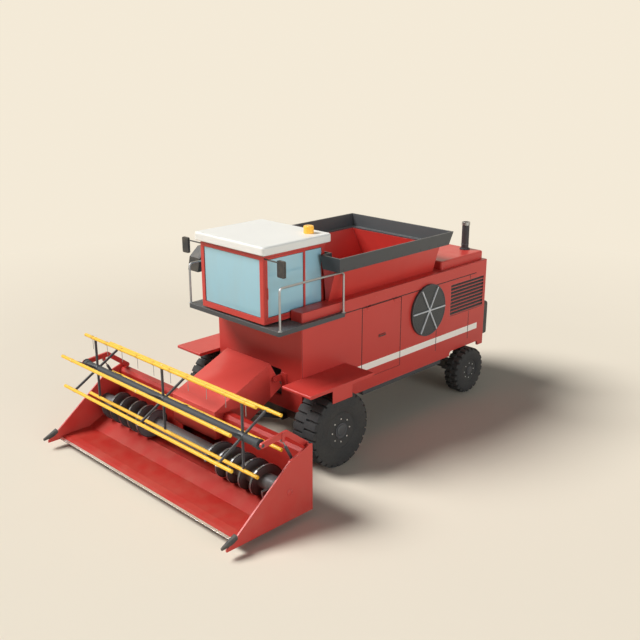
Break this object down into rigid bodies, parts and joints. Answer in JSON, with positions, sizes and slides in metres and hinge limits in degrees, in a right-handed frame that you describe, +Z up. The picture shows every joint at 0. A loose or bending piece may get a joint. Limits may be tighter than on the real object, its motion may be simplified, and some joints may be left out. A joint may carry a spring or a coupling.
{
  "type": "combine harvester",
  "caption": "Self-propelled grain harvester with a reel-fed cutting header, drum feeder, cab, open grain tank, swinging unloading auger and rear-wheel steering.",
  "frame": {"origin": "on the ground, under the middle of the machine's length and width", "axes": "+X forward, +Y to the driver's left, +Z up"},
  "size_m": [9.181, 5.578, 4.377],
  "materials": {
    "red_paint": "satin",
    "dark_paint": "satin",
    "white_paint": "satin",
    "yellow_paint": "satin",
    "grey_steel": "satin",
    "rod_chrome": "polished",
    "cast_drive": "painted",
    "black_plastic": "matte",
    "amber_plastic": "gloss",
    "seat_fabric": "woven",
    "tinted_glass": "gloss",
    "tyre_rubber": "matte"
  },
  "bodies": {
    "chassis": {"body_housing": "red_paint", "chassis_frame": "dark_paint", "front_axle": "cast_drive", "rear_axle": "cast_drive", "fenders": "red_paint", "platform": "dark_paint", "handrails": "grey_steel", "cab_frame": "red_paint", "cab_glass": "tinted_glass", "cab_roof": "white_paint", "operator_seat": "seat_fabric", "steering_column": "black_plastic", "beacon": "amber_plastic", "mirrors": "black_plastic", "grain_tank": "red_paint", "tank_rim": "dark_paint", "tank_auger": "grey_steel", "engine_hood": "red_paint", "exhaust": "dark_paint", "threshing_housing": "grey_steel", "engine": "cast_drive", "rear_panel": "dark_paint", "side_grilles": "dark_paint", "ladder": "dark_paint", "unloading_elbow": "red_paint", "feeder_ears": "dark_paint"},
    "front_left_wheel": {"front_left_tyre": "tyre_rubber", "front_left_rim": "dark_paint"},
    "front_right_wheel": {"front_right_tyre": "tyre_rubber", "front_right_rim": "dark_paint"},
    "rear_left_wheel": {"rear_left_tyre": "tyre_rubber", "rear_left_rim": "dark_paint"},
    "rear_right_wheel": {"rear_right_tyre": "tyre_rubber", "rear_right_rim": "dark_paint"},
    "left_knuckle": {"left_knuckle": "cast_drive"},
    "right_knuckle": {"right_knuckle": "cast_drive"},
    "left_service_door": {"left_service_door": "red_paint"},
    "right_service_door": {"right_service_door": "red_paint"},
    "cab_door": {"cab_door": "red_paint", "cab_door_glass": "tinted_glass"},
    "rotary_screen": {"rotary_screen": "dark_paint"},
    "unloading_boom": {"unloading_auger": "red_paint", "unloading_spout": "black_plastic"},
    "header": {"feeder_house": "red_paint", "header_frame": "red_paint", "header_ends": "red_paint", "crop_dividers": "black_plastic", "cutter_bar": "grey_steel"},
    "header_auger": {"header_auger": "dark_paint"},
    "reel_arms": {"reel_arms": "red_paint"},
    "reel": {"reel_shaft": "dark_paint", "reel_bats": "yellow_paint", "reel_tines": "grey_steel"},
    "header_lift_barrels": {"header_lift_barrels": "dark_paint"},
    "header_lift_rods": {"header_lift_rods": "rod_chrome"},
    "reel_lift_barrels": {"reel_lift_barrels": "dark_paint"},
    "reel_lift_rods": {"reel_lift_rods": "rod_chrome"}
  },
  "joints": [
    {"name": "front_left_wheel_spin", "type": "hinge", "parent": "chassis", "child": "front_left_wheel", "pos_m": [1.0045, 1.566, 0.733], "axis": [0, 1, 0], "continuous": true},
    {"name": "front_right_wheel_spin", "type": "hinge", "parent": "chassis", "child": "front_right_wheel", "pos_m": [1.0045, -1.566, 0.733], "axis": [0, 1, 0], "continuous": true},
    {"name": "left_steer", "type": "hinge", "parent": "chassis", "child": "left_knuckle", "pos_m": [-3.6805, 0.93, 0.52], "axis": [0, 0, 1], "range_deg": [-35, 35]},
    {"name": "right_steer", "type": "hinge", "parent": "chassis", "child": "right_knuckle", "pos_m": [-3.6805, -0.93, 0.52], "axis": [0, 0, 1], "range_deg": [-35, 35]},
    {"name": "rear_left_wheel_spin", "type": "hinge", "parent": "left_knuckle", "child": "rear_left_wheel", "pos_m": [-3.6805, 1.2335, 0.52], "axis": [0, 1, 0], "continuous": true},
    {"name": "rear_right_wheel_spin", "type": "hinge", "parent": "right_knuckle", "child": "rear_right_wheel", "pos_m": [-3.6805, -1.2335, 0.52], "axis": [0, 1, 0], "continuous": true},
    {"name": "left_service_door_hinge", "type": "hinge", "parent": "chassis", "child": "left_service_door", "pos_m": [-0.8375, 1.223, 2.684], "axis": [1, 0, 0], "range_deg": [0, 80]},
    {"name": "right_service_door_hinge", "type": "hinge", "parent": "chassis", "child": "right_service_door", "pos_m": [-0.8375, -1.223, 2.684], "axis": [-1, 0, 0], "range_deg": [0, 80]},
    {"name": "cab_door_slide", "type": "slide", "parent": "chassis", "child": "cab_door", "axis": [-1, 0, 0], "range_m": [0, 0.545]},
    {"name": "rotary_screen_spin", "type": "hinge", "parent": "chassis", "child": "rotary_screen", "pos_m": [-2.2955, 1.24, 2.214], "axis": [0, 1, 0], "continuous": true},
    {"name": "unloading_swing", "type": "hinge", "parent": "chassis", "child": "unloading_boom", "pos_m": [-2.5955, -1.62, 3.286], "axis": [0, 0, -1], "range_deg": [0, 95]},
    {"name": "header_lift", "type": "hinge", "parent": "chassis", "child": "header", "pos_m": [1.5605, 0, 1.57], "axis": [0, -1, 0], "range_deg": [-2, 20]},
    {"name": "header_auger_spin", "type": "hinge", "parent": "header", "child": "header_auger", "pos_m": [3.1595, 0, 0.64], "axis": [0, 1, 0], "continuous": true},
    {"name": "reel_lift", "type": "hinge", "parent": "header", "child": "reel_arms", "pos_m": [2.6795, 0, 1.307], "axis": [0, -1, 0], "range_deg": [-5, 15]},
    {"name": "reel_spin", "type": "hinge", "parent": "reel_arms", "child": "reel", "pos_m": [3.6245, 0, 1.596], "axis": [0, 1, 0], "continuous": true},
    {"name": "header_lift_barrel_turn", "type": "hinge", "parent": "chassis", "child": "header_lift_barrels", "pos_m": [1.2145, 0, 0.64], "axis": [0, -1, 0], "range_deg": [-2, 8]},
    {"name": "header_lift_rod_slide", "type": "slide", "parent": "header_lift_barrels", "child": "header_lift_rods", "axis": [0.9309, 0, 0.3653], "range_m": [-0.04, 0.27]},
    {"name": "reel_lift_barrel_turn", "type": "hinge", "parent": "header", "child": "reel_lift_barrels", "pos_m": [2.9895, 0, 1.14], "axis": [0, -1, 0], "range_deg": [-6, 15]},
    {"name": "reel_lift_rod_slide", "type": "slide", "parent": "reel_lift_barrels", "child": "reel_lift_rods", "axis": [0.4689, 0, 0.8833], "range_m": [-0.04, 0.11]}
  ],
  "couplings": [
    {"joint": "right_steer", "follows": "left_steer", "ratio": 1},
    {"joint": "header_lift_barrel_turn", "follows": "header_lift", "ratio": 0.284},
    {"joint": "header_lift_rod_slide", "follows": "header_lift", "m_per_rad": 0.708},
    {"joint": "reel_lift_barrel_turn", "follows": "reel_lift", "ratio": 0.914},
    {"joint": "reel_lift_rod_slide", "follows": "reel_lift", "m_per_rad": 0.348}
  ]
}
